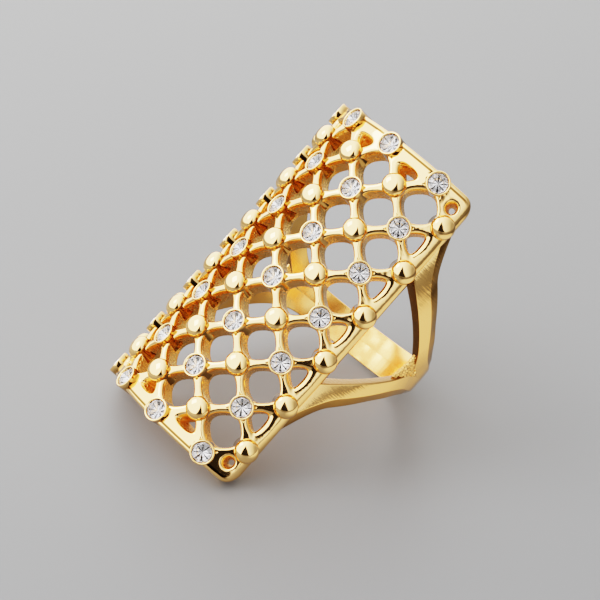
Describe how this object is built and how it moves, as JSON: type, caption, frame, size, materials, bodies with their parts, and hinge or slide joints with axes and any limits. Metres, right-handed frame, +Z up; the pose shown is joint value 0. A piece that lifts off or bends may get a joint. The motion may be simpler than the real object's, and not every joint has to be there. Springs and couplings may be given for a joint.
{
  "type": "knuckle ring",
  "caption": "Gold-coloured knuckle ring: a curved open lattice plate with round clear stones and polished balls on a forked finger band.",
  "frame": {"origin": "middle of the resting ring's footprint, on the surface it rests on", "axes": "+Z up; X across the finger, the ring is the same to both sides but for a small turn of its band; the finger line leans in the YZ plane, up towards +Y"},
  "size_m": [0.0184, 0.0252, 0.0236],
  "materials": {
    "gold": "polished gold plating",
    "crystal": "clear, faceted, foil-backed"
  },
  "bodies": {
    "root": {"ring_body": "gold", "stone_1": "crystal", "stone_2": "crystal", "stone_3": "crystal", "stone_4": "crystal", "stone_5": "crystal", "stone_6": "crystal", "stone_7": "crystal", "stone_8": "crystal", "stone_9": "crystal", "stone_10": "crystal", "stone_11": "crystal", "stone_12": "crystal", "stone_13": "crystal", "stone_14": "crystal", "stone_15": "crystal", "stone_16": "crystal", "stone_17": "crystal", "stone_18": "crystal", "stone_19": "crystal", "stone_20": "crystal", "stone_21": "crystal", "stone_22": "crystal", "stone_23": "crystal", "stone_24": "crystal", "stone_25": "crystal", "stone_26": "crystal", "stone_27": "crystal", "stone_28": "crystal"}
  },
  "joints": []
}
